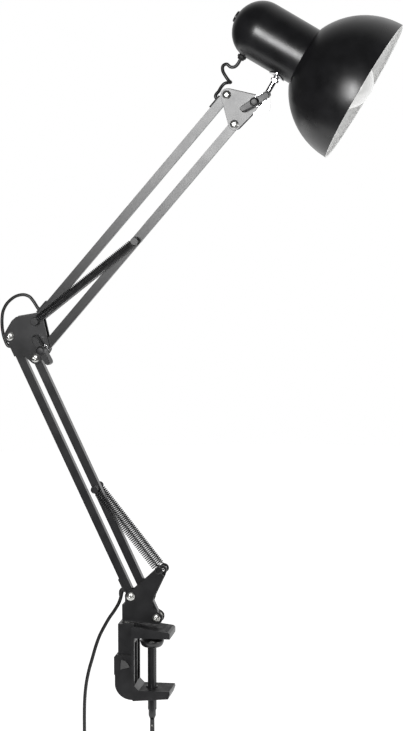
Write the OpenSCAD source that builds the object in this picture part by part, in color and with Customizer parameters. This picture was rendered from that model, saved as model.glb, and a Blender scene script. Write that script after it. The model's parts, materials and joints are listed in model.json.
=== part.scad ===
// Architect desk lamp: a table clamp, a swivelling base, two parallelogram arms
// held up by springs, and a tilting, swivelling bell-shaped lamp head.
// Millimetres. X runs along the arm, Z is up, Y is the width.
// Origin: underside of the clamp's upper jaw, on the axis of the clamp screw.

/* [Clamp] */
// Width of both jaws
jaw_w = 40; // [34:1:46]
// Gap between the two jaws
jaw_gap = 60; // [50:1:66]
// Distance from the screw axis to the jaw tips
jaw_tip = 23.5; // [20:0.5:27]
// Diameter of the clamp screw
screw_d = 10; // [8:0.5:11]
// Diameter of the pressure pad
pad_d = 27; // [22:1:30]

/* [Arms] */
// Width of the lower arm bars
lower_bar_w = 9; // [8:0.5:9.5]
// Width of the upper arm bars
upper_bar_w = 10; // [8:0.5:10.5]
// Depth of all bars, across the arm
bar_depth = 9; // [8:0.5:9]
// Wall thickness of the bars
bar_wall = 0.9; // [0.7:0.1:1.2]
// Pivot to pivot length of the lower arm
lower_len = 323; // [300:1:350]
// Pivot to pivot length of the upper arm
upper_len = 331; // [300:1:350]
// Angle of the lower arm above the desk
lower_angle = 115; // [90:1:120]
// Angle of the upper arm above the desk
upper_angle = 49.5; // [30:0.5:75]
// Thickness of the bracket plates
plate_t = 1.6; // [1.2:0.1:2]

/* [Springs] */
// Outer diameter of the springs
spring_d = 9.6; // [7:0.1:10]
// Distance from a bar's lower pivot to its spring stud
stud_along = 161.5; // [140:0.5:180]

/* [Lamp head] */
// Outer diameter of the cup
cup_d = 66.6; // [60:0.2:70]
// Length of the cup from its seam to the end of its dome
cup_len = 88; // [80:1:95]
// Diameter of the shade's rim
shade_d = 165; // [155:1:170]
// Distance from the seam to the rim
shade_len = 74; // [70:1:76]
// Angle of the cup's axis below the horizontal
head_pitch = 30; // [0:1:45]
// Diameter of the rod that carries the cup
rod_d = 6; // [5:0.5:7]

/* [Mains cord] */
// Width of the cord
cord_d = 5; // [4:0.5:6]
// Number of cord sides
cord_sides = 8; // [8:1:12]

/* [Hidden] */
$fn = 48;

// clearances
running = 0.05;
gap = 0.3;

// clamp
jaw_y = jaw_w / 2;
spine_in = -17.2;
spine_out = -20.2;
swivel_x = -28;
pin_r = 5;
bush_r = 7;
socket_bottom = -46;
lock_point = [swivel_x, -31];
lock_apex = [-33, -36.5];
block_y = 17;
boss_top = 14.8;
floor_z = 15.2;
pin_neck_r = 2.8;
screw_r = screw_d / 2;
pad_rim = -6;
pad_bottom = -13.5;
rivet_base = -9.7;
nut_bottom = -(jaw_gap + 8.9);
nut_h = 6.5;
screw_end = -97;
tang_r = 1.6;
handle_end = -124;
handle_t = 4.8;
handle_turn = 9;
handle_pin_z = -103;
handle_pin_r = 1;

// pivots, as [x, z]
base_1 = [-23, 45];
base_2 = [6, 21];
lower_dir = [cos(lower_angle), sin(lower_angle)];
upper_dir = [cos(upper_angle), sin(upper_angle)];
elbow_1 = base_1 + lower_len * lower_dir;
elbow_2 = base_2 + lower_len * lower_dir;
upper_1 = elbow_1 + [30, 18];
upper_2 = upper_1 + [8.5, -32];
head_1 = upper_1 + upper_len * upper_dir;
head_2 = upper_2 + upper_len * upper_dir;
tilt_pivot = head_1 + [32.6, -7.3];
hook_point = [9.6, 77];
hook_wire = [12.4, 74.2];
lower_stud = base_2 + stud_along * lower_dir;
upper_stud = upper_2 + stud_along * upper_dir;

// across the arm
bar_y = bar_depth / 2;
plate_in = 5.6;
plate_out = plate_in + plate_t;
spring_y = 12.1;
stud_end = 17;

// fasteners
bolt_r = 2.5;
bolt_head_r = 4.7;
nut_r = 5.2;
stud_r = 2;

// lamp head
cup_r = cup_d / 2;
cup_wall = 1;
shade_r = shade_d / 2;
shade_wall = 0.9;
dome_len = 31;
rod_seam = 17;
rod_r = rod_d / 2;
rod_offset = 5.2;
rod_reach = 68;
rod_dir = [sin(head_pitch), cos(head_pitch)];
axis_dir = [cos(head_pitch), -sin(head_pitch)];
seam = tilt_pivot + rod_reach * rod_dir + (rod_offset + rod_seam) * axis_dir;
grommet_z = -61;
switch_r = 7.6;
bulb_r = 30;
bulb_z = 51;
neck_r = 13.2;

// helpers: a plane drawn as [x, z], made solid between two depths
module slab(y0, y1) {
    translate([0, y1, 0]) rotate([90, 0, 0]) linear_extrude(y1 - y0) children();
}
module both_sides() {
    children();
    mirror([0, 1, 0]) children();
}
module across(p, r, y0, y1, sides = 48) {
    slab(y0, y1) translate(p) circle(r, $fn = sides);
}
module capsule(a, b, w) {
    d = b - a;
    len = norm(d);
    translate(a) rotate(atan2(d[1], d[0])) {
        translate([0, -w / 2]) square([len, w]);
        circle(w / 2);
        translate([len, 0]) circle(w / 2);
    }
}
module head_place() {
    translate([seam[0], 0, seam[1]]) rotate([0, 90 + head_pitch, 0]) children();
}
function arc(c, r, a0, a1, n) = [for (i = [0:n]) let (a = a0 + (a1 - a0) * i / n)
    c + r * [cos(a), sin(a)]];

// ---- clamp ----
module jaw_profile() {
    polygon(concat(
        [[spine_in - 2, 12.8], [-2, 10.8], [jaw_tip - 2, 7.8], [jaw_tip, 6], [jaw_tip, 0],
            [spine_in, 0], [spine_in, -jaw_gap + 5],
            [spine_in + 5, -jaw_gap], [jaw_tip - 0.5, -jaw_gap], [jaw_tip, -jaw_gap - 3],
            [jaw_tip - 2, -jaw_gap - 8.8], [spine_in - 1.5, -jaw_gap - 12.5],
            [spine_out, -jaw_gap - 10], [spine_out, 12]]));
}
module clamp_frame() color("#1c1c1c") difference() {
    union() {
        slab(-jaw_y, jaw_y) jaw_profile();
        translate([-36.3, -15, -24]) cube([18, 30, boss_top + 24]);
        slab(-block_y, block_y) polygon(concat(
            [[spine_out + 1, -20.5], [-38.2, -20.5], [-40.7, -23], [-40.7, -43]],
            [[-39.8, -44], [-39.8, -52]],
            arc([-21, -53], 19, 190, 270, 8), [[spine_out + 1, -72]]));
        translate([0, 0, -jaw_gap - 1]) cylinder(r = 6.6, h = 2.4);
    }
    // the spine is thinned between its two side flanges, with a rib down its middle
    for (y = [-16.8, 0.8]) translate([spine_out + 1.2, y, -jaw_gap + 6])
        cube([10, 16, jaw_gap - 12]);
    translate([spine_out - 2.5, 9, -54]) cube([4, 6, 11]);
    translate([swivel_x, 0, socket_bottom]) cylinder(r = bush_r, h = 80);
    translate([0, 0, -jaw_gap - 20]) cylinder(r = screw_r + running, h = 25);
    translate([0, 0, nut_bottom - 20]) cylinder(r = 8.6, h = 20 + nut_h + 0.2);
    across(lock_point, bolt_r + running, -jaw_y, 0);
}
module socket_bush() color("#2b2b2b") translate([swivel_x, 0, socket_bottom]) difference() {
    cylinder(r = bush_r, h = boss_top - socket_bottom);
    translate([0, 0, 1.2]) cylinder(r = pin_r + running, h = 60);
    rotate([90, 0, 0]) translate([0, lock_point[1] - socket_bottom, 0])
        cylinder(r = bolt_r + running, h = 20);
}
module screw_nut() color("silver") translate([0, 0, nut_bottom]) difference() {
    cylinder(r = 8.4, h = nut_h, $fn = 6);
    translate([0, 0, -1]) cylinder(r = screw_r + running, h = 20);
}
module pin_lock_screw() color("#4a4a4a") {
    across(lock_point, bolt_r, -block_y - 0.4, -pin_r - 0.6);
    slab(-jaw_y, -block_y - 0.4) {
        polygon(concat([lock_apex], arc(lock_apex, 11, 15, 85, 10)));
        translate(lock_point) circle(3.6);
    }
}
module clamp_screw() color("#202020") difference() {
    union() {
        translate([0, 0, handle_pin_z - 5]) cylinder(r = tang_r, h = 12);
        translate([0, 0, screw_end]) cylinder(r1 = 2.7, r2 = screw_r - 0.8, h = 4);
        translate([0, 0, screw_end + 4]) cylinder(r = screw_r - 0.8, h = 8);
        translate([0, 0, -86]) cylinder(r = screw_r, h = 86 + pad_bottom + 2.5);
        translate([0, 0, pad_bottom + 2.5]) cylinder(r = 3, h = rivet_base - pad_bottom - 2.5);
    }
    rotate([0, 0, handle_turn]) across([0, handle_pin_z], handle_pin_r, -10, 10);
}
// the wing stands nearly in the YZ plane, its neck pinned across the screw's tang
module wing_handle() color("#1c1c1c") rotate([0, 0, handle_turn]) difference() {
    rotate([0, 0, 90]) slab(-handle_t / 2, handle_t / 2)
        polygon(concat([[-4.6, screw_end], [4.6, screw_end]],
            arc([8, handle_end + 7], 7, 40, -90, 10), arc([-8, handle_end + 7], 7, 270, 140, 10)));
    translate([0, 0, handle_pin_z - 5]) cylinder(r = tang_r, h = 12);
    across([0, handle_pin_z], handle_pin_r, -20, 20);
}
module clamp_pad() color("#262626") difference() {
    rotate_extrude() polygon([[0, pad_bottom], [8, pad_bottom], [12, pad_bottom + 2.5],
        [pad_d / 2, pad_rim - 2], [pad_d / 2, pad_rim], [pad_d / 2 - 1.6, pad_rim],
        [9.5, pad_bottom + 3.4], [0, pad_bottom + 3.4]]);
    translate([0, 0, pad_bottom - 1]) cylinder(r = 3 + running, h = 20);
    translate([0, 0, pad_bottom - 1]) cylinder(r = screw_r + gap, h = 3.5 + gap);
}
module screw_rivets() color("silver") {
    translate([0, 0, rivet_base]) intersection() {
        translate([0, 0, -4.8]) sphere(r = 6.4);
        cylinder(r = 4.3, h = 3);
    }
    rotate([0, 0, handle_turn]) across([0, handle_pin_z], handle_pin_r, -8.3, 8.3);
}

// ---- base ----
module base_outline() {
    difference() {
        union() {
            polygon([[-33, floor_z], [3, floor_z], [base_2[0] + 6, 16.5], [13, 24], [2, 33],
                [3.5, 45], [15.3, 70], [12, 76.5], [8, 79.5], [-6.3, 66], [-21, 53],
                [-29.5, 46], [-29.7, 36], [-33, 35.5]]);
            translate(base_1) circle(6.8);
            translate(base_2) circle(7.2);
            translate([13.2, 76.4]) circle(5.2);
        }
        translate([11.6, 37.5]) circle(9.8);
        capsule([12.2, 74.2], [20, 67.5], 3.4);
        capsule([12.2, 74.2], [14.2, 77], 3);
    }
}
module base_bracket() color("#1e1e1e") difference() {
    union() {
        both_sides() slab(-plate_out, -plate_in) base_outline();
        translate([-33, -plate_out, floor_z]) cube([plate_t, 2 * plate_out, 20.3]);
        translate([-33, -plate_out, floor_z]) cube([20, 2 * plate_out, plate_t]);
    }
    for (p = [base_1, base_2]) across(p, bolt_r + running, -20, 20);
    translate([swivel_x, 0, floor_z - 1]) cylinder(r = pin_neck_r, h = plate_t + 2);
}
module swivel_pin() color("silver") translate([swivel_x, 0, 0]) difference() {
    union() {
        translate([0, 0, socket_bottom + 1.5])
            cylinder(r = pin_r, h = floor_z - socket_bottom - 1.5);
        translate([0, 0, floor_z]) cylinder(r = pin_neck_r, h = plate_t);
        translate([0, 0, floor_z + plate_t]) cylinder(r = 3.2, h = 1.4);
    }
    translate([0, 0, lock_point[1]]) rotate_extrude() translate([pin_r - 0.6, -2.8])
        square([2, 5.6]);
}
module swivel_washer() color("#d8d8d0") translate([swivel_x, 0, boss_top + 0.05]) difference() {
    cylinder(r = 7, h = 0.3);
    translate([0, 0, -1]) cylinder(r = pin_r + running, h = 3);
}

// ---- fasteners ----
module pan_bolts(points) color("silver") for (p = points) {
    across(p, bolt_r, -plate_out, plate_out + 4);
    difference() {
        intersection() {
            across(p, bolt_head_r, -plate_out - 2.6, -plate_out);
            translate([p[0], -plate_out + 5.2, p[1]]) sphere(r = 8);
        }
        translate([p[0] - 2.4, -plate_out - 3, p[1] - 0.45]) cube([4.8, 1.6, 0.9]);
        translate([p[0] - 0.45, -plate_out - 3, p[1] - 2.4]) cube([0.9, 1.6, 4.8]);
    }
}
module cap_nuts(points) color("#2a2a2a") for (p = points) difference() {
    union() {
        across(p, nut_r, plate_out, plate_out + 3.6, 6);
        intersection() {
            translate([p[0], plate_out + 2, p[1]]) sphere(r = 4.2);
            across(p, 4.2, plate_out + 3, plate_out + 8);
        }
    }
    across(p, bolt_r + running, plate_out - 1, plate_out + 4.2);
}
module washers(points) color("#d8d8d0") both_sides() for (p = points) difference() {
    across(p, 5.5, -plate_in, -bar_y - gap);
    across(p, bolt_r + running, -plate_in - 1, -bar_y);
}
module base_bolts() pan_bolts([base_1, base_2]);
module base_nuts() cap_nuts([base_1, base_2]);
module base_washers() {
    washers([base_1, base_2]);
    swivel_washer();
}

// ---- bars ----
module bar_outer(from, to, w, extra = 0) {
    slab(-bar_y + extra, bar_y - extra) capsule(from, to, w - 2 * extra);
}
module bar(from, to, w) color("#303030") difference() {
    bar_outer(from, to, w);
    bar_outer(from, to, w, bar_wall);
    for (p = [from, to]) across(p, bolt_r + running, -20, 20);
}
// a window in the outer side of a rear bar, where the cord goes in or out
window_from = 8;
window_len = 14;
module window_place(from, dir, t) {
    translate([from[0], 0, from[1]]) rotate([0, -atan2(dir[1], dir[0]), 0])
        translate([t, 0, 0]) children();
}
module cord_window(from, dir, len, w) {
    for (t = [window_from, len - window_from - window_len])
        window_place(from, dir, t) translate([0, -2.6, w / 2 - 2])
            cube([window_len, 5.2, 4]);
}
module cord_bushes(from, dir, len, w) color("#151515")
    for (t = [window_from, len - window_from - window_len])
        window_place(from, dir, t) difference() {
            union() {
                translate([gap / 2, -2.5, w / 2 - 1.6]) cube([window_len - gap, 5, 2]);
                translate([-1, -3.5, w / 2 + 0.05]) cube([window_len + 2, 7, 1.7]);
            }
            translate([t < len / 2 ? 4 : window_len - 4, 0, 0]) cylinder(r = 2.2, h = 30);
        }
module lower_bar_rear() difference() {
    bar(base_1, elbow_1, lower_bar_w);
    cord_window(base_1, lower_dir, lower_len, lower_bar_w);
}
module lower_bar_front() difference() {
    bar(base_2, elbow_2, lower_bar_w);
    across(lower_stud, stud_r, -20, 20);
}
module upper_bar_rear() difference() {
    bar(upper_1, head_1, upper_bar_w);
    cord_window(upper_1, upper_dir, upper_len, upper_bar_w);
}
module upper_bar_front() difference() {
    bar(upper_2, head_2, upper_bar_w);
    across(upper_stud, stud_r, -20, 20);
}
module lower_cord_bushes() cord_bushes(base_1, lower_dir, lower_len, lower_bar_w);
module upper_cord_bushes() cord_bushes(upper_1, upper_dir, upper_len, upper_bar_w);

// ---- springs ----
module stud(p) color("#1a1a1a") {
    across(p, stud_r, -stud_end, stud_end);
    both_sides() {
        across(p, 4.2, -stud_end, -stud_end + 1.8);
        across(p, 3.2, -bar_y - 2.2, -bar_y);
    }
}
module lower_spring_stud() stud(lower_stud);
module upper_spring_stud() stud(upper_stud);
module elbow_spring_stud() color("#1a1a1a") {
    across(upper_1, bolt_r, -stud_end, stud_end);
    both_sides() {
        across(upper_1, 4.2, -stud_end, -stud_end + 1.8);
        across(upper_1, 4.2, -plate_out - 1, -plate_out);
    }
}
eye_wire = 0.6;
eye_r = 3.9;
coil_from = 4.4;
module spring(a, b) {
    d = b - a;
    len = norm(d);
    color("#222222") translate([a[0], -spring_y, a[1]]) rotate([0, -atan2(d[1], d[0]), 0]) {
        for (x = [0, len]) translate([x, 0, 0]) rotate([90, 0, 0])
            rotate_extrude() translate([eye_r, 0]) circle(eye_wire);
        difference() {
            translate([coil_from, 0, 0]) rotate([0, 90, 0]) cylinder(r = spring_d / 2,
                h = len - 2 * coil_from);
            translate([coil_from + 1.5, 0, 0]) rotate([0, 90, 0])
                cylinder(r = spring_d / 2 - 1.1, h = len - 2 * coil_from - 3);
        }
    }
}
module lower_springs() both_sides() {
    spring(hook_point, lower_stud);
    color("#222222") across(hook_wire, eye_wire, -spring_y, -plate_in + 0.2);
}
module upper_springs() both_sides() spring(upper_1, upper_stud);

// ---- elbow ----
module elbow_outline() {
    polygon([elbow_1 + [-4.5, -5], elbow_2 + [-4.8, -4.8], elbow_2 + [5, -4.7],
        upper_2 + [4.5, -5.5], upper_2 + [7, 1.5], upper_1 + [8.6, 0], upper_1 + [6.6, 5],
        upper_1 + [-0.8, 7.8], elbow_1 + [7, 21.7], elbow_1 + [2.2, 17.5],
        elbow_1 + [-2.5, 9.8], elbow_1 + [-6.2, 3]]);
    translate(elbow_1) circle(6.9);
    translate(elbow_2) circle(6.8);
    translate(upper_1) circle(7.8);
    translate(upper_2) circle(6.6);
}
module elbow_plate() color("#262626") difference() {
    slab(-plate_out, -plate_in) elbow_outline();
    for (p = [elbow_1, elbow_2, upper_1, upper_2]) across(p, bolt_r + running, -20, 20);
}
module elbow_plate_near() elbow_plate();
module elbow_plate_far() mirror([0, 1, 0]) elbow_plate();
module elbow_bolts() pan_bolts([elbow_1, elbow_2]);
module elbow_nuts() cap_nuts([elbow_1, elbow_2]);
module elbow_washers() washers([elbow_1, elbow_2, upper_1, upper_2]);

// ---- wing knobs and their bolts ----
knob_in = 9.2;
knob_out = 26.5;
wing_len = 38;
module clamp_bolt(p) color("silver") {
    across(p, bolt_r, -knob_out + 4, plate_out + 0.2);
    across(p, 4.6, plate_out, plate_out + 3.4, 6);
    difference() {
        across(p, 5.6, -knob_in + 0.2, -plate_out);
        across(p, bolt_r - 0.1, -knob_in, -plate_out + 1);
    }
}
module wing_knob(p, turn) color("#242424") difference() {
    union() {
        across(p, 5, -knob_out, -knob_in);
        reach = (wing_len - 7.6) / 2;
        way = [cos(turn), sin(turn)];
        slab(-knob_out + 3, -knob_in - 3.5) capsule(p - reach * way, p + reach * way, 7.6);
    }
    across(p, bolt_r + running, -knob_out + 3.5, 0);
}
module elbow_clamp_bolt() clamp_bolt(upper_2);
module elbow_wing_knob() wing_knob(upper_2, -59);
module head_clamp_bolt() clamp_bolt(tilt_pivot);
module head_wing_knob() wing_knob(tilt_pivot, 30);

// ---- head bracket ----
module head_outline() {
    for (pair = [[head_1, head_2], [head_2, tilt_pivot], [tilt_pivot, head_1]])
        capsule(pair[0], pair[1], 13.6);
    polygon([head_1, head_2, tilt_pivot]);
}
module head_plate() color("#4c4c4c") difference() {
    slab(-plate_out, -plate_in) head_outline();
    for (p = [head_1, head_2, tilt_pivot]) across(p, bolt_r + running, -20, 20);
}
module head_plate_near() head_plate();
module head_plate_far() mirror([0, 1, 0]) head_plate();
module head_bolts() pan_bolts([head_1, head_2]);
module head_nuts() cap_nuts([head_1, head_2]);
module head_washers() washers([head_1, head_2]);

// ---- tilting fork ----
rod_foot = tilt_pivot + rod_offset * axis_dir;
module yoke_outline() {
    translate(tilt_pivot) circle(6.2);
    translate(tilt_pivot) polygon([[-5.2, -3.4], [-2.5, -15.5], [5.5, -12.2], [13, -10.4],
        [14.2, -6.5], [13.6, 4.2], [11, 9], [3.5, 9.5], [-3.4, 5.2]]);
}
module head_yoke() color("silver") difference() {
    slab(-plate_in + gap, plate_in - gap) yoke_outline();
    slab(-plate_in + gap + 1.5, plate_in - gap - 1.5)
        translate([-1.5, 1.6]) yoke_outline();
    across(tilt_pivot, bolt_r + running, -20, 20);
}
module head_rod() color("silver") {
    translate([rod_foot[0], 0, rod_foot[1]]) rotate([0, head_pitch, 0]) {
        translate([0, 0, 3.2]) cylinder(r = rod_r, h = rod_reach - cup_r - 3.2 + 6);
        translate([0, 0, 3.2]) cylinder(r = 4, h = 7);
        translate([0, 0, rod_reach - cup_r - 6.5]) cylinder(r = 4.6, h = 2.6, $fn = 6);
    }
}
module rod_nut() color("silver") translate([rod_foot[0], 0, rod_foot[1]])
    rotate([0, head_pitch, 0]) translate([0, 0, rod_reach - cup_r + cup_wall + 1.3])
        difference() {
            cylinder(r = 6, h = 4, $fn = 6);
            translate([0, 0, -1]) cylinder(r = rod_r, h = 9);
        }

// ---- lamp head: local Z runs from the seam to the rim, local X towards the rod ----
module cup_saddle() color("silver") head_place() difference() {
    intersection() {
        translate([0, 0, -rod_seam - 10]) difference() {
            cylinder(r = cup_r + 1.3, h = 20, $fn = 96);
            translate([0, 0, -1]) cylinder(r = cup_r + 0.05, h = 22, $fn = 96);
        }
        translate([0, 0, -rod_seam]) rotate([0, 90, 0]) linear_extrude(60)
            polygon([for (i = [0:35]) [9.4 * cos(i * 10), 16.4 * sin(i * 10)]]);
    }
    translate([0, 0, -rod_seam]) rotate([0, 90, 0]) cylinder(r = rod_r + 0.08, h = 60);
}
function dome(r, len, n) = [for (i = [0:n]) let (a = 90 * i / n)
    [r * cos(a), -(cup_len - dome_len) - len * sin(a)]];
module lamp_cup() color("#1a1a1a") head_place() difference() {
    rotate_extrude($fn = 96) polygon(concat([[cup_r, -0.1]], dome(cup_r, dome_len, 14),
        [[0, -cup_len + cup_wall]],
        [for (i = [13:-1:0]) let (a = 90 * i / 14) [(cup_r - cup_wall) * cos(a),
            -(cup_len - dome_len) - (dome_len - cup_wall) * sin(a)]],
        [[cup_r - cup_wall, -0.1]]));
    translate([0, 0, -cup_len - 5]) cylinder(r = switch_r + 0.4, h = 12);
    translate([0, 0, -rod_seam]) rotate([0, 90, 0]) cylinder(r = rod_r + 0.08, h = 60);
    translate([0, 0, grommet_z]) rotate([0, 90, 0]) cylinder(r = 4, h = 60);
}
module shade() color("#1a1a1a") head_place() {
    difference() {
        translate([0, 0, shade_len]) sphere(r = shade_r, $fn = 96);
        translate([0, 0, shade_len]) sphere(r = shade_r - shade_wall, $fn = 96);
        translate([-200, -200, shade_len]) cube([400, 400, 200]);
        translate([-200, -200, -200]) cube([400, 400, 200]);
    }
    translate([0, 0, shade_len - 0.7]) rotate_extrude($fn = 96)
        translate([shade_r - 0.7, 0]) circle(0.9, $fn = 24);
}
// the disc that closes the shade's neck round the holder, and the sleeve that plugs the cup
module shade_collar() color("#1a1a1a") head_place() {
    difference() {
        cylinder(r = 35.4, h = 1.2, $fn = 96);
        translate([0, 0, -1]) cylinder(r = 20.1, h = 4, $fn = 96);
    }
    translate([0, 0, -7]) difference() {
        cylinder(r = cup_r - cup_wall - 0.05, h = 7, $fn = 96);
        translate([0, 0, -1]) cylinder(r = cup_r - cup_wall - 1, h = 9, $fn = 96);
    }
}
module lamp_holder() color("#e8e8e0") head_place() difference() {
    union() {
        translate([0, 0, -52]) cylinder(r = 17, h = 12);
        translate([0, 0, -40]) cylinder(r = 20, h = 50);
        translate([0, 0, -3.2]) cylinder(r = 25, h = 3.1);
    }
    translate([0, 0, -36]) cylinder(r = neck_r + 0.4, h = 60);
}
module holder_ring() color("#dcdcd4") head_place() translate([0, 0, 1.3]) difference() {
    cylinder(r = 24.5, h = 6);
    translate([0, 0, -1]) cylinder(r = 20.1, h = 9);
}
function bulb_side(t) = concat([[neck_r - 0.6 - t, -2], [neck_r - 0.4 - t, 8],
    [15 - t, 15], [18.5 - t, 22]], arc([0, bulb_z], bulb_r - t, -45, 90, 18));
function backwards(list) = [for (i = [len(list) - 1:-1:0]) list[i]];
module bulb_glass() color("white") head_place() rotate_extrude($fn = 64)
    polygon(concat(bulb_side(0), backwards(bulb_side(1))));
module bulb_base() color("silver") head_place() {
    translate([0, 0, -26]) cylinder(r = neck_r, h = 24);
    translate([0, 0, -29.5]) cylinder(r1 = 7, r2 = neck_r - 1, h = 3.5);
    translate([0, 0, -31.5]) cylinder(r = 4.5, h = 2);
}
module switch_body() color("#303030") head_place() difference() {
    union() {
        translate([0, 0, -84.5]) cylinder(r = 10.5, h = 2.5);
        translate([0, 0, -82]) cylinder(r = 8.8, h = 16);
    }
    translate([0, 0, -90]) cylinder(r = switch_r - 0.9, h = 14);
}
module switch_button() color("#101010") head_place() {
    translate([0, 0, -cup_len - 1.2]) cylinder(r = switch_r - 1, h = 9.5);
}
module cord_grommet() color("#101010") head_place() translate([0, 0, grommet_z])
    rotate([0, 90, 0]) difference() {
        union() {
            translate([0, 0, cup_r - 4.5]) cylinder(r = 3.95, h = 5);
            translate([0, 0, cup_r + 0.1]) cylinder(r = 5, h = 2.4);
            translate([0, 0, cup_r + 2.5]) cylinder(r1 = 4.4, r2 = 3.4, h = 2.5);
        }
        cylinder(r = cord_d / 2, h = 80);
    }

// ---- cords ----
// a smooth curve through hand-placed points, swept with a round section
function spline(p, i, t) = let (n = len(p) - 1, a = p[max(i - 1, 0)], b = p[i],
    c = p[min(i + 1, n)], d = p[min(i + 2, n)])
    0.5 * (2 * b + (c - a) * t + (2 * a - 5 * b + 4 * c - d) * t * t
    + (3 * b - 3 * c + d - a) * t * t * t);
function route(p, steps) = [for (i = [0:len(p) - 2], j = [0:steps - 1])
    spline(p, i, j / steps), p[len(p) - 1]];
function unit(v) = v / norm(v);
function way(p, i) = unit(p[min(i + 1, len(p) - 1)] - p[max(i - 1, 0)]);
// each ring's side vector is the last one carried along, kept square to the route
function sides(p) = [for (i = 0, s = unit(cross(way(p, 0), [0.31, 0.88, 0.36]));
    i < len(p); i = i + 1, s = i < len(p) ? unit(s - (s * way(p, i)) * way(p, i)) : s) s];
module cord_tube(points, d, steps) {
    p = route(points, steps);
    s = sides(p);
    n = cord_sides;
    rings = [for (i = [0:len(p) - 1], k = [0:n - 1]) let (a = 360 * k / n,
        up = cross(way(p, i), s[i])) p[i] + d / 2 * (cos(a) * s[i] + sin(a) * up)];
    polyhedron(rings, concat([[for (k = [0:n - 1]) k]],
        [for (i = [0:len(p) - 2], k = [0:n - 1]) [i * n + k, (i + 1) * n + k,
            (i + 1) * n + (k + 1) % n, i * n + (k + 1) % n]],
        [[for (k = [n - 1:-1:0]) (len(p) - 1) * n + k]]));
}
// a route inside a bar: in at one window, out at the other, as [along, outwards]
function in_bar(from, dir, len, w) = let (h = w / 2 + 1.7)
    [for (q = [[10.5, h], [15, h - 3.2], [21.5, 0.6], [32, 0], [len / 2, 0], [len - 32, 0],
        [len - 21.5, 0.6], [len - 15, h - 3.2], [len - 10.5, h]])
        let (p = from + q[0] * dir + q[1] * [-dir[1], dir[0]]) [p[0], 0, p[1]]];
lead_d = 4;
elbow_route = [[-163.5, 0, 325.5], [-166, 0, 331], [-168.5, 0, 338], [-169.8, 0, 346],
    [-170, 0, 356], [-168.5, 0, 365.5], [-163.5, 0, 374.5], [-155, 0, 381.5],
    [-146, 0, 384], [-138.5, 0, 382], [-133.5, 0, 376.5], [-129.2, 0, 369.8]];
head_route = [[71.5, 0, 605.5], [75.5, 1.5, 611], [78, 2.8, 615.5], [81.5, 3.6, 619.3],
    [86, 2.8, 620.5], [88.5, 0, 620.8], [87, -2.8, 622.8], [84, -3.2, 627], [80.5, -2, 633],
    [80.5, -1, 638.5], [84.5, 0, 640.5], [88.5, 0, 637.5], [93, 0, 637.5], [96.5, 0, 640.4],
    [99, 0, 644.6]];
mains_route = [[-35, 0, 49.5], [-35.5, 0, 43], [-38.5, 0, 34.5], [-43.5, 0, 26],
    [-49, 0, 18], [-55, 0, 7.5], [-60.5, 0, -3.5], [-65, 0, -16], [-69, 0, -30],
    [-73, 0, -44], [-76.5, 0, -60], [-79, 0, -78], [-80.5, 0, -96], [-81, 0, -112],
    [-81, 0, -130]];
hank_x = -99;
hank_top = -120;
hank_len = 106;
hank_r = 23;
hank_hole_r = 13;
hank_t = 15;
plug_y = [7.9, 21.9];
plug_w = 35;
plug_x = hank_x + 18;
plug_top = -170;
module lower_bar_cord() color("#101010")
    cord_tube(in_bar(base_1, lower_dir, lower_len, lower_bar_w), lead_d, 4);
module upper_bar_cord() color("#101010")
    cord_tube(in_bar(upper_1, upper_dir, upper_len, upper_bar_w), lead_d, 4);
module elbow_cord() color("#101010") cord_tube(elbow_route, lead_d, 3);
module head_cord() color("#101010") cord_tube(head_route, lead_d - 0.4, 4);
module cup_lead() color("#101010") head_place()
    cord_tube([[32, 0, grommet_z], [27, 0, -61], [21, 0, -60], [15, 0, -57], [12, 0, -51.5]],
        3, 4);
module mains_cord() color("#101010") cord_tube(mains_route, cord_d, 3);
module hank_outline(r) capsule([hank_x, hank_top - hank_r],
    [hank_x, hank_top - hank_len + hank_r], 2 * r);
module cord_hank() color("#101010") slab(-hank_t / 2, hank_t / 2) difference() {
    hank_outline(hank_r);
    hank_outline(hank_hole_r);
}
module mains_plug() {
    color("#101010") slab(plug_y[0], plug_y[1]) translate([plug_x, plug_top])
        polygon([[-12, -36], [12, -36], [plug_w / 2, -30], [plug_w / 2, -8], [9, 0], [-9, 0],
            [-plug_w / 2, -8], [-plug_w / 2, -30]]);
    color("#101010") translate([plug_x, (plug_y[0] + plug_y[1]) / 2, plug_top])
        cylinder(r1 = 5.5, r2 = 3.2, h = 20);
    color("silver") for (s = [-1, 1])
        translate([plug_x + s * 9.3, (plug_y[0] + plug_y[1]) / 2, plug_top - 55])
            cylinder(r = 2, h = 19);
}

clamp_frame();
socket_bush();
screw_nut();
pin_lock_screw();
clamp_screw();
wing_handle();
clamp_pad();
screw_rivets();
base_bracket();
swivel_pin();
base_bolts();
base_nuts();
base_washers();
lower_bar_rear();
lower_bar_front();
lower_cord_bushes();
lower_spring_stud();
lower_springs();
elbow_plate_near();
elbow_plate_far();
elbow_bolts();
elbow_nuts();
elbow_washers();
elbow_spring_stud();
elbow_clamp_bolt();
elbow_wing_knob();
upper_bar_rear();
upper_bar_front();
upper_cord_bushes();
upper_spring_stud();
upper_springs();
head_plate_near();
head_plate_far();
head_bolts();
head_nuts();
head_washers();
head_clamp_bolt();
head_wing_knob();
head_yoke();
head_rod();
rod_nut();
cup_saddle();
lamp_cup();
shade();
shade_collar();
lamp_holder();
holder_ring();
bulb_glass();
bulb_base();
switch_body();
switch_button();
cord_grommet();
lower_bar_cord();
elbow_cord();
upper_bar_cord();
head_cord();
cup_lead();
mains_cord();
cord_hank();
mains_plug();
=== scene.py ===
"""Architect desk lamp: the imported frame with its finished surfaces, springs, cords and light."""
import json
from math import acos, cos, pi, radians, sin

import bmesh
import bpy
from mathutils import Matrix, Vector

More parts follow.
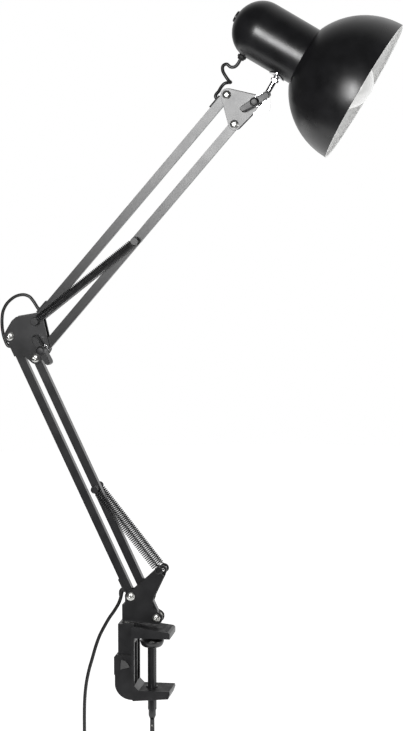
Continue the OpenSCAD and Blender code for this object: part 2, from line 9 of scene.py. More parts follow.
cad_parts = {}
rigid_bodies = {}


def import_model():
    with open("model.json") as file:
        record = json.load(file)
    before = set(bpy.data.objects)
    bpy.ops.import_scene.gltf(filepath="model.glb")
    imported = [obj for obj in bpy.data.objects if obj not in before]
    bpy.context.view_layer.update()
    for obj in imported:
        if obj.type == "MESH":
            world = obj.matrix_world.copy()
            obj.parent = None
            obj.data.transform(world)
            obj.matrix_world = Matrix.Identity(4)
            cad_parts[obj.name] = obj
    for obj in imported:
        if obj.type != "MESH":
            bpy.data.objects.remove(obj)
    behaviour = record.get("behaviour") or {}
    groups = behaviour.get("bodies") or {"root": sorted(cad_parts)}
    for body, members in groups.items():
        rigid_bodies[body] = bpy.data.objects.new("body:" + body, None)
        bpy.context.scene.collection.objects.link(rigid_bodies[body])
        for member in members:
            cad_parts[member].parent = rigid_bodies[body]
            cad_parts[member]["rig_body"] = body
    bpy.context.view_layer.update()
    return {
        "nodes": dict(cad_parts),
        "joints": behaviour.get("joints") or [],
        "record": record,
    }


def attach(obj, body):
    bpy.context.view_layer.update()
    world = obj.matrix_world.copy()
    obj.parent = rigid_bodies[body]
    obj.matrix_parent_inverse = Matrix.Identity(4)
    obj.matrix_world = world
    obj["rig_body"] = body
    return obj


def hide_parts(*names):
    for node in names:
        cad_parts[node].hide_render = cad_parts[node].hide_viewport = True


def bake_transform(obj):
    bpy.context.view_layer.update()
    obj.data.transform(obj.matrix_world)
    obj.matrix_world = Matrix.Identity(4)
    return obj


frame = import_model()
nodes = frame["nodes"]
joint = {j["name"]: j for j in frame["joints"]}
MM = 0.001


def at(x, y, z):
    """A point given in millimetres, in metres."""
    return Vector((x, y, z)) * MM


def pivot(name):
    return Vector(joint[name]["pos_m"])


# ---- places taken from the joints ----
BASE_1, BASE_2 = pivot("lower_arm"), pivot("lower_front_pivot")
ELBOW_1, UPPER_1, UPPER_2 = pivot("elbow_level"), pivot("upper_arm"), pivot("upper_front_pivot")
HEAD_1, TILT = pivot("head_level"), pivot("head_tilt")
ROD = Vector(joint["head_swivel"]["axis"]).normalized()
AXIS = Vector(joint["switch_press"]["axis"]).normalized()
# the seam of cup and shade: up the rod to the head's own axis, then forward along it
SEAM_UP, SEAM_FORWARD = 0.068, 0.0222
SEAM = TILT + SEAM_UP * ROD + SEAM_FORWARD * AXIS
HEAD = Matrix.Translation(SEAM) @ Matrix((-ROD, Vector((0, 1, 0)), AXIS)).transposed().to_4x4()
SPRING_Y, STUD_ALONG = 0.0121, 0.1615
LOWER_DIR, UPPER_DIR = (ELBOW_1 - BASE_1).normalized(), (HEAD_1 - UPPER_1).normalized()
LOWER_STUD, UPPER_STUD = BASE_2 + STUD_ALONG * LOWER_DIR, UPPER_2 + STUD_ALONG * UPPER_DIR
HOOK, HOOK_WIRE = at(9.6, 0, 77), at(12.4, 0, 74.2)


# ---- materials ----
NOISE_LOW, NOISE_HIGH = 0.3, 0.7    # the part of a noise's range that carries the change
GRAIN_DEPTH, COAT_ROUGH, SMUDGE_SCALE = 0.0002, 0.15, 60.0


def finish(name, colour, rough, metal=0.0, tone=0.25, grain=900.0, bump=0.08, spread=0.08,
           coat=0.0, specular=0.5):
    """A surface with a fine grain, a slow change of tone, and gloss that varies a little."""
    m = bpy.data.materials.new(name)
    m.use_nodes = True
    t = m.node_tree
    s = t.nodes["Principled BSDF"]
    s.inputs["Metallic"].default_value = metal
    s.inputs["Coat Weight"].default_value = coat
    s.inputs["Coat Roughness"].default_value = COAT_ROUGH
    s.inputs["Specular IOR Level"].default_value = specular
    where = t.nodes.new("ShaderNodeTexCoord")

    def noise(scale, detail):
        n = t.nodes.new("ShaderNodeTexNoise")
        n.inputs["Scale"].default_value = scale
        n.inputs["Detail"].default_value = detail
        t.links.new(where.outputs["Object"], n.inputs["Vector"])
        return n.outputs["Fac"]

    fine, slow = noise(grain, 3), noise(SMUDGE_SCALE, 4)
    ramp = t.nodes.new("ShaderNodeValToRGB")
    low, high = ramp.color_ramp.elements
    low.position, high.position = NOISE_LOW, NOISE_HIGH
    low.color = [c * (1 - tone) for c in colour] + [1]
    high.color = [min(c * (1 + tone), 1) for c in colour] + [1]
    t.links.new(slow, ramp.inputs["Fac"])
    t.links.new(ramp.outputs["Color"], s.inputs["Base Color"])
    gloss = t.nodes.new("ShaderNodeMapRange")
    gloss.inputs["From Min"].default_value = NOISE_LOW
    gloss.inputs["From Max"].default_value = NOISE_HIGH
    gloss.inputs["To Min"].default_value = rough - spread / 2
    gloss.inputs["To Max"].default_value = rough + spread / 2
    t.links.new(slow, gloss.inputs["Value"])
    t.links.new(gloss.outputs["Result"], s.inputs["Roughness"])
    relief = t.nodes.new("ShaderNodeBump")
    relief.inputs["Strength"].default_value = bump
    relief.inputs["Distance"].default_value = GRAIN_DEPTH
    t.links.new(fine, relief.inputs["Height"])
    t.links.new(relief.outputs["Normal"], s.inputs["Normal"])
    return m


M = {
    "black_plastic": finish("moulded_black", (0.012, 0.012, 0.013), 0.38, grain=1500, bump=0.2,
                            specular=0.42),
    "black_paint": finish("satin_black_steel", (0.015, 0.015, 0.016), 0.30, bump=0.02, spread=0.04),
    "shade_paint": finish("satin_black_shade", (0.009, 0.009, 0.010), 0.31, bump=0.05, grain=1300),
    "chrome": finish("polished_chrome", (0.62, 0.62, 0.63), 0.16, 1.0, 0.05, bump=0.02, spread=0.06),
    "zinc_steel": finish("bright_zinc", (0.60, 0.60, 0.58), 0.30, 1.0, 0.10, bump=0.05),
    "black_spring": finish("oiled_spring_steel", (0.012, 0.012, 0.013), 0.34, bump=0.05),
    "nylon": finish("white_nylon", (0.62, 0.62, 0.58), 0.45, tone=0.05, bump=0.1),
    "holder_white": finish("glazed_white", (0.72, 0.72, 0.70), 0.28, tone=0.04, bump=0.04),
    "opal_glass": finish("opal_glass", (0.86, 0.86, 0.85), 0.16, tone=0.02, bump=0.01, coat=0.4),
    "bush_rubber": finish("soft_rubber", (0.012, 0.012, 0.012), 0.60, bump=0.3, grain=1600),
    "cord_sheath": finish("pvc_sheath", (0.012, 0.012, 0.012), 0.38, tone=0.12, bump=0.02,
                          grain=1800),
    "plug_plastic": finish("moulded_plug", (0.014, 0.014, 0.015), 0.36, bump=0.2, grain=1500),
}
SHADE_INSIDE = finish("white_enamel", (0.86, 0.86, 0.855), 0.45, tone=0.015, bump=0.01,
                      spread=0.05)
LOCK_TAB = finish("blackened_tab", (0.085, 0.085, 0.085), 0.42, 0.3, bump=0.15)
SLOT = {part["node"]: part["material_slot"] for part in frame["record"]["subparts"]}


# ---- mesh helpers: each adds a closed form, in metres, to a bmesh ----
WELD, WELD_CAD = 1e-7, 2e-6


def add(bm, points, faces):
    made = [bm.verts.new(p) for p in points]
    for f in faces:
        bm.faces.new([made[i] for i in f])


def loft(bm, rings):
    """Rings of as many points each, joined one after another, with flat ends."""
    n = len(rings[0])
    faces = [(i * n + k, i * n + (k + 1) % n, (i + 1) * n + (k + 1) % n, (i + 1) * n + k)
             for i in range(len(rings) - 1) for k in range(n)]
    faces += [tuple(range(n))[::-1], tuple(range((len(rings) - 1) * n, len(rings) * n))]
    add(bm, [p for ring in rings for p in ring], faces)


def turned(bm, profile, steps, matrix=None, marks=None):
    """A closed profile of (radius, height) in mm, turned round local Z. marks gives a
    material to each of the profile's sides."""
    n = len(profile)
    points = [at(r * cos(2 * pi * k / steps), r * sin(2 * pi * k / steps), z)
              for k in range(steps) for r, z in profile]
    faces = []
    for k in range(steps):
        a, b = k * n, (k + 1) % steps * n
        for i in range(n):
            j = (i + 1) % n
            if profile[i][0] == 0 and profile[j][0] == 0:
                continue
            faces.append(((a + i, b + i, b + j, a + j), marks[i] if marks else 0))
    made = [bm.verts.new(matrix @ p if matrix else p) for p in points]
    for f, m in faces:
        face = bm.faces.new([made[i] for i in f])
        face.material_index = m
    bmesh.ops.remove_doubles(bm, verts=made, dist=WELD)


def swept(bm, path, section, side=Vector((0, 1, 0))):
    """A section of (across, up) in metres carried along a path, its width kept along side."""
    rings = []
    last = len(path) - 1
    for i, p in enumerate(path):
        way = (path[min(i + 1, last)] - path[max(i - 1, 0)]).normalized()
        wide = (side - side.dot(way) * way).normalized()
        up = way.cross(wide)
        rings.append([p + a * wide + b * up for a, b in section])
    loft(bm, rings)


def round_section(r, n):
    return [(r * cos(2 * pi * k / n), r * sin(2 * pi * k / n)) for k in range(n)]


def twin_section(w):
    """Two cores side by side in one sheath w wide, with a shallow groove between them."""
    r, c, n = 0.383 * w, 0.117 * w, 7
    right = [(c + r * cos(a), r * sin(a)) for a in [pi * (k / (n - 1) - 0.5) for k in range(n)]]
    return right + [(0, 0.86 * r)] + [(-x, -z) for x, z in right] + [(0, -0.86 * r)]


def spline(points, steps):
    """A smooth curve through every point."""
    out, last = [], len(points) - 1
    for i in range(last):
        a, b = points[max(i - 1, 0)], points[i]
        c, d = points[i + 1], points[min(i + 2, last)]
        for k in range(steps):
            t = k / steps
            out.append(0.5 * (2 * b + (c - a) * t + (2 * a - 5 * b + 4 * c - d) * t * t
                              + (3 * b - 3 * c + d - a) * t ** 3))
    return out + [points[last]]


def ahead(bm, outline, y0, y1):
    """An (x, z) outline in mm made solid between two depths in mm."""
    loft(bm, [[at(x, y, z) for x, z in outline] for y in (y1, y0)])


def done(bm, name, slot, body=None, mats=None, bevel=0.0, turns=2, sharp=38, replaced=()):
    """The bmesh as a piece that rides on a body, with its slot's finish and its edges rounded."""
    bmesh.ops.recalc_face_normals(bm, faces=bm.faces)
    mesh = bpy.data.meshes.new(name)
    bm.to_mesh(mesh)
    bm.free()
    for m in mats or [M[slot]]:
        mesh.materials.append(m)
    mesh.shade_smooth()
    mesh.set_sharp_from_angle(angle=radians(sharp))
    o = bpy.data.objects.new(name, mesh)
    bpy.context.scene.collection.objects.link(o)
    if bevel:
        b = o.modifiers.new("edges", "BEVEL")
        b.width, b.segments, b.limit_method = bevel * MM, turns, "ANGLE"
        b.angle_limit, b.harden_normals = radians(sharp), True
    if body:
        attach(o, body)
    if replaced:
        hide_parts(*replaced)
    return o


def refined(node, bevel, turns=2, sharp=38, mats=None):
    """The CAD node's own form with its edges rounded as made."""
    bm = bmesh.new()
    bm.from_mesh(nodes[node].data)
    bmesh.ops.remove_doubles(bm, verts=bm.verts, dist=WELD_CAD)
    bmesh.ops.dissolve_limit(bm, angle_limit=radians(1), verts=bm.verts, edges=bm.edges)
    for f in bm.faces:
        f.material_index = 0
    return done(bm, node + "_finished", SLOT[node], nodes[node]["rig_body"], mats, bevel, turns,
                sharp, [node])


# every node that stays as it is takes its slot's finish
for name, o in nodes.items():
    o.data.materials.clear()
    o.data.materials.append(M[SLOT[name]])

# ---- the camera ----
EYE, LOOK_AT = Vector((0.47807, -2.72283, 0.66096)), Vector((0.05656, 0, 0.308))
LENS, SENSOR = 123.12, 36
camera = bpy.data.objects.new("camera", bpy.data.cameras.new("camera"))
camera.data.lens, camera.data.sensor_width = LENS, SENSOR
camera.data.clip_end = 50
camera.location = EYE
camera.rotation_euler = (LOOK_AT - EYE).to_track_quat("-Z", "Y").to_euler()
bpy.context.scene.collection.objects.link(camera)
bpy.context.scene.camera = camera

# ---- the mains cord: down from the bar, then wound into a hank beside the clamp ----
CORD_D = 5.0
HANK_X, HANK_TOP, HANK_LOW = -99, -143, -203
HANK_OUT, HANK_IN, LAYER = 20.5, 15.6, 5    # radii of its turns, and from one layer to the next
HANK_TURNS = [(HANK_OUT, 0), (HANK_OUT, -LAYER), (HANK_IN, -LAYER), (HANK_IN, 0),
              (HANK_IN, LAYER), (HANK_OUT, LAYER)]
PLUG_X, PLUG_Y, PLUG_TOP = -81, 14.9, -170
MAINS_ROUTE = [(-35, 0, 49.5), (-35.5, 0, 43), (-38.5, 0, 34.5), (-43.5, 0, 26), (-49, 0, 18),
               (-55, 0, 7.5), (-60.5, 0, -3.5), (-65, 0, -16), (-69, 0, -30), (-73, 0, -44),
               (-76.2, 0, -60), (-78, 0, -78), (-78.5, 0, -96), (-78.5, 0, -112),
               (-78.5, 0, -128)]


def bend(r0, r1, y0, y1, top, n=14):
    """Half a turn of the hank, passing from one radius and layer to the next."""
    out = []
    for k in range(n + 1):
        u = k / n
        e = u * u * (3 - 2 * u)
        r, y = r0 + (r1 - r0) * e, y0 + (y1 - y0) * e
        a = pi * (1 - u) if top else -pi * u
        out.append(at(HANK_X + r * cos(a), y, (HANK_TOP if top else HANK_LOW) + r * sin(a)))
    return out


mains_path = spline([at(*p) for p in MAINS_ROUTE], 4)
for (r, y), (r1, y1) in zip(HANK_TURNS, HANK_TURNS[1:] + [(PLUG_X - HANK_X, PLUG_Y)]):
    mains_path += [at(HANK_X + r, y, z) for z in (HANK_TOP, -158, -173, -188)]
    mains_path += bend(r, r, y, y, False)
    mains_path += [at(HANK_X - r, y, z) for z in (-188, -173, -158)]
    mains_path += bend(r, r1, y, y1, True)
mains_path += [at(PLUG_X, PLUG_Y, -149), at(PLUG_X, PLUG_Y, -156)]
bm = bmesh.new()
swept(bm, mains_path, twin_section(CORD_D * MM))
mains = done(bm, "mains_lead", "cord_sheath", sharp=60, replaced=["mains_cord", "cord_hank"])
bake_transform(mains)

# ---- its plug, with grip ribs, a ribbed strain relief and two pins ----
PLUG_OUTLINE = [(-11.5, -36), (11.5, -36), (15.5, -34.5), (17.5, -30), (17.5, -10), (15, -5),
                (9, 0), (-9, 0), (-15, -5), (-17.5, -10), (-17.5, -30), (-15.5, -34.5)]
PLUG_DEPTHS, RIB_DEPTHS, RIB_HALF = (7.9, 21.9), (7.6, 22.2), 1.6
PIN_X, PIN_Z = 9.3, -36
bm = bmesh.new()
ahead(bm, [(PLUG_X + x, PLUG_TOP + z) for x, z in PLUG_OUTLINE], *PLUG_DEPTHS)
for k in range(3):
    for s in (-1, 1):
        mid, low, high = PLUG_X + s * (14.6 + 0.1 * k), -187 - 6 * k, -184 - 6 * k
        ahead(bm, [(mid - RIB_HALF, low), (mid + RIB_HALF, low),
                   (mid + RIB_HALF, high), (mid - RIB_HALF, high)], *RIB_DEPTHS)
plug = done(bm, "plug_body", "plug_plastic", "base", bevel=1.6, turns=3, replaced=["mains_plug"])

bm = bmesh.new()
relief = [(0, 0), (5.6, 0), (5.4, 3)]
for k in range(4):
    z, r = 4 + 4 * k, 5.2 - 0.45 * k
    relief += [(r, z), (r - 0.9, z + 0.6), (r - 0.9, z + 1.6), (r - 0.1, z + 2.2)]
relief += [(3.3, 20), (0, 20)]
turned(bm, relief, 32, matrix=Matrix.Translation(at(PLUG_X, PLUG_Y, PLUG_TOP)))
plug_relief = done(bm, "plug_relief", "plug_plastic", "base")

bm = bmesh.new()
for s in (-1, 1):
    pin = Matrix.Translation(at(PLUG_X + s * PIN_X, PLUG_Y, PLUG_TOP + PIN_Z))
    turned(bm, [(0, 0.5), (2, 0.5), (2, -9), (1.85, -9.3), (1.85, -18), (1.2, -19), (0, -19)], 24,
           matrix=pin)
plug_pins = done(bm, "plug_pins", "zinc_steel", "base")

# ---- the flat band round the hank ----
TIE_R, TIE_Y, TIE_END, TIE_LOW, TIE_HIGH = 24.0, 8.6, 4, -159, -153
bm = bmesh.new()
band = []
for cx, a0 in ((HANK_X + TIE_R - TIE_END, -90), (HANK_X - TIE_R + TIE_END, 90)):
    for k in range(9):
        a = radians(a0 + 180 * k / 8)
        band.append((cx + TIE_END * cos(a), TIE_Y * sin(a)))
ring_out = [at(x, y, 0) for x, y in band]
ring_in = [at(HANK_X + (x - HANK_X) * 0.965, y * 0.88, 0) for x, y in band]
n = len(band)
levels = [[p + at(0, 0, z) for p in ring] for ring, z in
          ((ring_out, TIE_LOW), (ring_out, TIE_HIGH), (ring_in, TIE_HIGH), (ring_in, TIE_LOW))]
add(bm, [p for ring in levels for p in ring],
    [(i * n + k, i * n + (k + 1) % n, (i + 1) % 4 * n + (k + 1) % n, (i + 1) % 4 * n + k)
     for i in range(4) for k in range(n)])
tie = done(bm, "hank_tie", "cord_sheath", "base", bevel=0.25)

# ---- the tapered boot where the cord leaves the bar: its line, and each ring's half sizes ----
BOOT_PATH = [at(-32.6, 0, 51.6), at(-34.2, 0, 50.6), at(-35.0, 0, 49.2), at(-35.4, 0, 46.5),
             at(-35.6, 0, 43.5)]
BOOT_RINGS = [(3.1, 2.4), (3.2, 2.7), (3.2, 2.8), (3.0, 2.6), (2.7, 2.2)]
bm = bmesh.new()
rings = []
for i, (p, (wide, deep)) in enumerate(zip(BOOT_PATH, BOOT_RINGS)):
    way = (BOOT_PATH[min(i + 1, 4)] - BOOT_PATH[max(i - 1, 0)]).normalized()
    across = way.cross(Vector((0, 1, 0)))
    rings.append([p + at(0, wide * cos(a), 0) + deep * MM * sin(a) * across
                  for a in [2 * pi * k / 20 for k in range(20)]])
loft(bm, rings)
boot = done(bm, "mains_boot", "bush_rubber", "lower_rear", bevel=0.3)

# ---- the two loops of lead that cross the joints, held at both ends ----
LOOP_STEPS = 6
ELBOW_ROUTE = [(-159.2, 0, 326.3), (-162.0, 0, 325.4), (-164.4, 0, 327.2), (-166.4, 0, 331.6),
               (-168.5, 0, 338), (-169.8, 0, 346), (-170, 0, 356), (-168.5, 0, 365.5),
               (-163.5, 0, 374.5), (-155, 0, 381.5), (-146, 0, 384), (-138.5, 0, 382),
               (-133.5, 0, 376.5), (-129.2, 0, 369.8), (-126.4, 0, 366.6)]
HEAD_ROUTE = [(75.2, 0, 602.6), (72.4, 0, 604.2), (72.6, 0.5, 607.4), (75.5, 1.5, 611),
              (78, 2.8, 615.5), (81.5, 3.6, 619.3), (86, 2.8, 620.5), (88.5, 0, 620.8),
              (87, -2.8, 622.8), (84, -3.2, 627),
              (80.5, -2, 633), (80.5, -1, 638.5), (84.5, 0, 640.5), (88.5, 0, 637.5),
              (93, 0, 637.5), (96.5, 0, 640.4), (99, 0, 644.6), (101, 0, 648.4)]


def loop(name, route, width, cuts, node):
    """A loop of lead in pieces, one for each span given in cuts."""
    path = spline([at(*p) for p in route], LOOP_STEPS)
    for k, (first, last, a, b) in enumerate(cuts):
        part = path[first * LOOP_STEPS:last * LOOP_STEPS + 1]
        bm = bmesh.new()
        swept(bm, part, twin_section(width * MM))
        o = done(bm, f"{name}_{k + 1}", "cord_sheath", sharp=60, replaced=[node])
        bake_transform(o)


loop("elbow_loop", ELBOW_ROUTE, 4.6,
     [(0, 7, "lower_rear", "elbow"), (7, 14, "elbow", "upper_rear")], "elbow_cord")
loop("head_loop", HEAD_ROUTE, 4.7,
     [(0, 6, "upper_rear", "head_bracket"), (6, 11, "head_bracket", "fork"),
      (11, 17, "fork", "head")], "head_cord")


# ---- springs: wound wire with an eye at each end ----
WIRE_R, COIL_R, RING_R, REACH = 0.58, 4.2, 3.9, 4.4    # REACH is from an eye's middle to the coils
WIND_STEPS, RING_STEPS = 14, 28
HOOK_WIRE_R = 0.65


def spring(name, a, b, cut, node, pitch, extra=None):
    """Both springs of a pair, in two pieces. cut is where along the spring the pieces meet, with
    both half turned."""
    way, length = (b - a).normalized(), (b - a).length
    up = Vector((0, 1, 0)).cross(way)
    for k, (s0, s1) in enumerate(((0, cut), (cut, 1))):
        bm = bmesh.new()
        for y in (-SPRING_Y, SPRING_Y):
            centre = a + Vector((0, y, 0))
            start = max(s0 * length, REACH * MM)
            stop = min(s1 * length, length - REACH * MM)
            count = int((stop - start) / (pitch * MM) * WIND_STEPS)
            path = []
            for i in range(count + 1):
                x = start + (stop - start) * i / count
                turn = 2 * pi * x / (pitch * MM)
                path.append(centre + x * way + COIL_R * MM
                            * (cos(turn) * up + sin(turn) * Vector((0, 1, 0))))
            swept(bm, path, round_section(WIRE_R * MM, 6), side=way)
            x, sign = (0, 1) if k == 0 else (length, -1)
            eye = [centre + x * way + RING_R * MM * (cos(t) * sign * way + sin(t) * up)
                   for t in [2 * pi * i / RING_STEPS + 0.12 for i in range(RING_STEPS)]]
            last = path[0] if k == 0 else path[-1]
            swept(bm, [last, (last + eye[0]) / 2 + up * 0.0004] + eye,
                  round_section(WIRE_R * MM, 8), side=Vector((0.01, 1, 0.02)).normalized())
        if extra and k == 0:
            extra(bm)
        o = done(bm, f"{name}_{k + 1}", "black_spring", sharp=70, replaced=[node])
        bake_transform(o)


def hook_wires(bm):
    """The cross wires in the base bracket's hooks that the lower springs' eyes hold."""
    for s in (-1, 1):
        swept(bm, [HOOK_WIRE + Vector((0, s * y, 0)) for y in (0.0050, 0.0085, SPRING_Y)],
              round_section(HOOK_WIRE_R * MM, 10), side=Vector((1, 0, 0)))


spring("lower_spring", HOOK, LOWER_STUD, 0.25, "lower_springs", 2.3,
       hook_wires)
spring("upper_spring", UPPER_1, UPPER_STUD, 0.15, "upper_springs", 2.1)

# ---- clamp ----
# the grip ridges run along the top of both jaws, on these lines of (x, z)
JAW_TOPS = (((-18.4, 12.75), (-2, 10.85), (21.2, 7.9)),
            ((-11.5, -59.95), (8, -59.95), (22.6, -59.95)))
RIDGES, RIDGE_FIRST, RIDGE_PITCH, RIDGE_WAVE, RIDGE_STEPS = 7, -16.2, 5.4, 0.55, 12
ridge_section = [(a * 1.5, b) for a, b in round_section(0.4 * MM, 8)]
refined("clamp_frame", 0.9, 3)
bm = bmesh.new()
for top in JAW_TOPS:
    for k in range(RIDGES):
        y = RIDGE_FIRST + RIDGE_PITCH * k
        line = []
        for (x0, z0), (x1, z1) in zip(top, top[1:]):
            for i in range(RIDGE_STEPS):
                u = i / RIDGE_STEPS
                x = x0 + (x1 - x0) * u
                line.append(at(x, y + RIDGE_WAVE * sin(x * 0.42 + k), z0 + (z1 - z0) * u))
        line.append(at(top[-1][0], y, top[-1][1]))
        swept(bm, line, ridge_section)
done(bm, "jaw_ridges", "black_plastic", "clamp", sharp=60)
refined("pin_lock_screw", 0.4, mats=[LOCK_TAB])
for node, bevel in (("socket_bush", 0.5), ("wing_handle", 0.9), ("screw_nut", 0.4),
                    ("swivel_pin", 0.3), ("screw_rivets", 0.15), ("clamp_screw", 0.35)):
    refined(node, bevel)
bm = bmesh.new()
turned(bm, [(3.05, -13.5), (8, -13.5), (10, -12.9), (12, -11.2), (13.1, -8.4), (13.6, -6.4),
            (13.3, -5.9), (12.6, -5.8), (12.1, -6.3), (11.2, -8.2), (9.5, -10.0), (3.05, -10.1)],
       72)
done(bm, "clamp_pad_dish", "black_paint", "pad", sharp=50, replaced=["clamp_pad"])

# ---- base, arms and plates ----
for node in ("base_bolts", "elbow_bolts", "head_bolts"):
    refined(node, 0.15, mats=[M["zinc_steel"]])
for node, bevel, turns in (("base_bracket", 0.35, 2), ("lower_bar_rear", 1.0, 3),
                           ("lower_bar_front", 1.0, 3), ("upper_bar_rear", 1.0, 3),
                           ("upper_bar_front", 1.0, 3), ("elbow_plate_near", 0.35, 2),
                           ("elbow_plate_far", 0.35, 2), ("head_plate_near", 0.35, 2),
                           ("head_plate_far", 0.35, 2),
                           ("base_nuts", 0.3, 2), ("elbow_nuts", 0.3, 2),
                           ("head_nuts", 0.3, 2), ("base_washers", 0.08, 1),
                           ("elbow_washers", 0.15, 2), ("head_washers", 0.15, 2),
                           ("lower_cord_bushes", 0.35, 2), ("upper_cord_bushes", 0.35, 2),
                           ("lower_spring_stud", 0.3, 2), ("upper_spring_stud", 0.3, 2),
                           ("elbow_spring_stud", 0.3, 2), ("elbow_clamp_bolt", 0.3, 2),
                           ("head_clamp_bolt", 0.3, 2), ("head_yoke", 0.5, 2),
                           ("head_rod", 0.25, 2), ("rod_nut", 0.3, 2), ("cup_saddle", 0.3, 2),
                           ("holder_ring", 0.5, 2), ("switch_body", 0.4, 2),
                           ("switch_button", 0.7, 3), ("cord_grommet", 0.3, 2),
                           ("lamp_holder", 0.5, 2)):
    refined(node, bevel, turns)


# ---- wing knobs ----
WING_BACK, WING_FRONT = -12.7, -22.8


def wing_knob(name, centre, angle, body, node):
    """A hub with two tapered wings, one at angle degrees from +X and one opposite."""
    bm = bmesh.new()
    hub = Matrix.Translation(centre) @ Matrix.Rotation(radians(90), 4, "X")
    turned(bm, [(2.6, 9.2), (5.0, 9.2), (5.3, 10.5), (5.3, 22.0), (4.9, 24.6), (4.6, 25.8),
                (4.0, 26.3), (3.2, 26.5), (0, 26.5), (0, 21), (2.6, 21)], 40, matrix=hub)
    c, s = cos(radians(angle)), sin(radians(angle))
    back = [(0, 4.6), (9, 4.7), (15.8, 4.4), (18.3, 3.0), (19, 0), (18.4, -2.4), (16, -3.5),
            (9, -4.0), (0, -4.4)]
    front = [(0, 3.4), (9, 3.2), (15, 2.8), (17, 1.9), (17.8, 0.2), (17.4, -1.9), (15.6, -3.0),
             (9, -3.6), (0, -4.1)]
    for sign in (1, -1):
        rings = []
        for outline, y in ((back, WING_BACK), (front, WING_FRONT)):
            rings.append([centre + at(sign * (u * c - v * s), y, sign * (u * s + v * c))
                          for u, v in outline])
        loft(bm, rings)
    done(bm, name, "black_plastic", body, bevel=0.5, turns=2, sharp=30, replaced=[node])


wing_knob("elbow_knob_wings", UPPER_2, -59, "elbow_knob", "elbow_wing_knob")
wing_knob("head_knob_wings", TILT, 30, "head_knob", "head_wing_knob")

# ---- lamp head, turned round its own axis from the seam between cup and shade ----
CUP_R, CUP_STRAIGHT, DOME = 33.3, 57, 31
SHADE_R, SHADE_LEN = 82.5, 74
BUTTON_HOLE = 8.0


def dome_line(r, length, n):
    """The cup's crown from its straight side to its top, as (radius, height)."""
    return [(r * cos(pi / 2 * i / n), -CUP_STRAIGHT - length * sin(pi / 2 * i / n))
            for i in range(n + 1)]


def shade_line(r, n):
    """The shade's curve, part of a sphere, from the neck to the rim."""
    lo = acos(SHADE_LEN / r)
    return [(r * sin(lo + (pi / 2 - lo) * i / n), SHADE_LEN - r * cos(lo + (pi / 2 - lo) * i / n))
            for i in range(n + 1)]


bm = bmesh.new()
outer = [p for p in dome_line(CUP_R, DOME, 32) if p[0] > BUTTON_HOLE + 0.05]
inner = [p for p in dome_line(CUP_R - 1, DOME - 1, 24)[::-1] if p[0] > BUTTON_HOLE + 0.1]
turned(bm, [(CUP_R - 1, -0.2), (CUP_R - 0.3, -0.1), (CUP_R, -0.5), (CUP_R, -0.9), (CUP_R, -20),
            (CUP_R, -40)] + outer + [(BUTTON_HOLE, -87.1), (BUTTON_HOLE, -86.2)] + inner,
       128, matrix=HEAD)
done(bm, "lamp_cup_shell", "shade_paint", "head", sharp=40, replaced=["lamp_cup"])

# the shade's profile goes out over the black side, round the rolled rim and back inside
bm = bmesh.new()
shell_out = [(CUP_R - 0.6, 0.0), (CUP_R + 2.6, -0.02)] + shade_line(SHADE_R, 40)
rim = [(SHADE_R + 0.25, SHADE_LEN - 0.3), (SHADE_R + 0.1, SHADE_LEN + 0.15),
       (SHADE_R - 0.6, SHADE_LEN + 0.25), (SHADE_R - 1.4, SHADE_LEN + 0.1),
       (SHADE_R - 1.75, SHADE_LEN - 0.6)]
shell_in = shade_line(SHADE_R - 0.9, 40)[::-1][1:] + [(CUP_R - 0.6, 1.1)]
profile = shell_out + rim + shell_in
marks = [0] * (len(shell_out) + 1) + [1] * (len(profile) - len(shell_out) - 1)
turned(bm, profile, 160, matrix=HEAD, marks=marks)
done(bm, "shade_shell", "shade_paint", "head", [M["shade_paint"], SHADE_INSIDE], sharp=50,
     replaced=["shade"])
nodes["shade_collar"].data.materials[0] = SHADE_INSIDE

BULB_R, BULB_Z = 30, 51
bm = bmesh.new()
glass = [(12.0, -2), (12.7, -2), (12.9, 8), (15.0, 15), (18.2, 21.5)]
glass += [(BULB_R * cos(radians(a)), BULB_Z + BULB_R * sin(radians(a)))
          for a in range(-45, 90, 5)]
glass += [(0, BULB_Z + BULB_R), (0, BULB_Z + BULB_R - 1)]
glass += [((BULB_R - 1) * cos(radians(a)), BULB_Z + (BULB_R - 1) * sin(radians(a)))
          for a in range(85, -50, -5)]
glass += [(17.2, 22), (14.0, 15.3), (11.9, 8)]
turned(bm, glass, 96, matrix=HEAD)
done(bm, "bulb_opal", "opal_glass", "head", sharp=60, replaced=["bulb_glass"])

bm = bmesh.new()
cap = [(0, -31.5), (4.2, -31.5), (4.5, -31), (4.5, -29.6), (7, -29.5), (11.6, -26.4)]
for k in range(6):
    z = -25.5 + 3.6 * k
    cap += [(12.2, z), (13.1, z + 0.9), (13.15, z + 1.8), (12.2, z + 2.7)]
cap += [(12.8, -2.4), (0, -2.0)]
turned(bm, cap, 64, matrix=HEAD)
done(bm, "bulb_cap_thread", "zinc_steel", "head", sharp=60, replaced=["bulb_base"])

# ---- light and floor ----
# the surroundings are plain white to the camera, and to the lamp's surfaces they are bright
# behind and to the right and dark in front, so the glossy black sides keep their dark tone
BRIGHT_SIDE, DARKEST, BRIGHTEST = (0.45, 0.85, 0.12), 0.08, 1.45
scene = bpy.context.scene
scene.view_settings.view_transform = "Standard"
world = bpy.data.worlds.new("studio")
scene.world = world
world.use_nodes = True
t = world.node_tree
t.nodes.clear()
out = t.nodes.new("ShaderNodeOutputWorld")
seen, around = t.nodes.new("ShaderNodeBackground"), t.nodes.new("ShaderNodeBackground")
seen.inputs["Color"].default_value = (1, 1, 1, 1)
seen.inputs["Strength"].default_value = 1.0
pick, rays = t.nodes.new("ShaderNodeMixShader"), t.nodes.new("ShaderNodeLightPath")
ways, towards = t.nodes.new("ShaderNodeTexCoord"), t.nodes.new("ShaderNodeVectorMath")
depth = t.nodes.new("ShaderNodeMapRange")
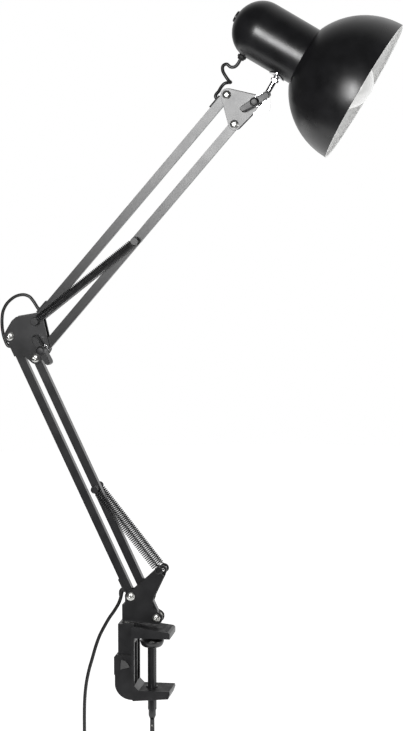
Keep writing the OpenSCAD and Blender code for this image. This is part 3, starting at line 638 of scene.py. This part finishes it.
depth.inputs["From Min"].default_value, depth.inputs["From Max"].default_value = 0.12, 1
depth.inputs["To Min"].default_value, depth.inputs["To Max"].default_value = DARKEST, BRIGHTEST
towards.operation = "DOT_PRODUCT"
towards.inputs[1].default_value = Vector(BRIGHT_SIDE).normalized()
t.links.new(ways.outputs["Generated"], towards.inputs[0])
t.links.new(towards.outputs["Value"], depth.inputs["Value"])
t.links.new(depth.outputs["Result"], around.inputs["Strength"])
t.links.new(rays.outputs["Is Camera Ray"], pick.inputs["Fac"])
t.links.new(around.outputs["Background"], pick.inputs[1])
t.links.new(seen.outputs["Background"], pick.inputs[2])
t.links.new(pick.outputs["Shader"], out.inputs["Surface"])


def softbox(name, place, aim, width, height, power):
    """A soft rectangular light that the camera doesn't see."""
    light = bpy.data.lights.new(name, "AREA")
    light.shape, light.size, light.size_y, light.energy = "RECTANGLE", width, height, power
    o = bpy.data.objects.new(name, light)
    o.location = place
    o.rotation_euler = (Vector(aim) - Vector(place)).to_track_quat("-Z", "Y").to_euler()
    o.visible_camera = False
    scene.collection.objects.link(o)


softbox("key", (-0.12, -1.5, 0.66), (0.10, 0, 0.58), 0.40, 0.56, 19)
softbox("side", (1.6, -0.6, 0.15), (0.1, 0, 0.40), 0.7, 0.9, 11)

# the floor lies behind the lamp, so that it doesn't fill the front surfaces with light
FLOOR_Z, FLOOR_Y, FLOOR_R, FLOOR_GLOW = -0.27, 1.3, 1.75, 0.80
bm = bmesh.new()
bmesh.ops.create_circle(bm, cap_ends=True, segments=96, radius=FLOOR_R)
mesh = bpy.data.meshes.new("floor")
bm.to_mesh(mesh)
bm.free()
floor = bpy.data.objects.new("floor", mesh)
floor.location = (0, FLOOR_Y, FLOOR_Z)
scene.collection.objects.link(floor)
pale = bpy.data.materials.new("pale_floor")
pale.use_nodes = True
shader = pale.node_tree.nodes["Principled BSDF"]
shader.inputs["Base Color"].default_value = (0.8, 0.8, 0.8, 1)
shader.inputs["Roughness"].default_value = 1.0
shader.inputs["Specular IOR Level"].default_value = 0.0
shader.inputs["Emission Color"].default_value = (1, 1, 1, 1)
shader.inputs["Emission Strength"].default_value = FLOOR_GLOW
mesh.materials.append(pale)
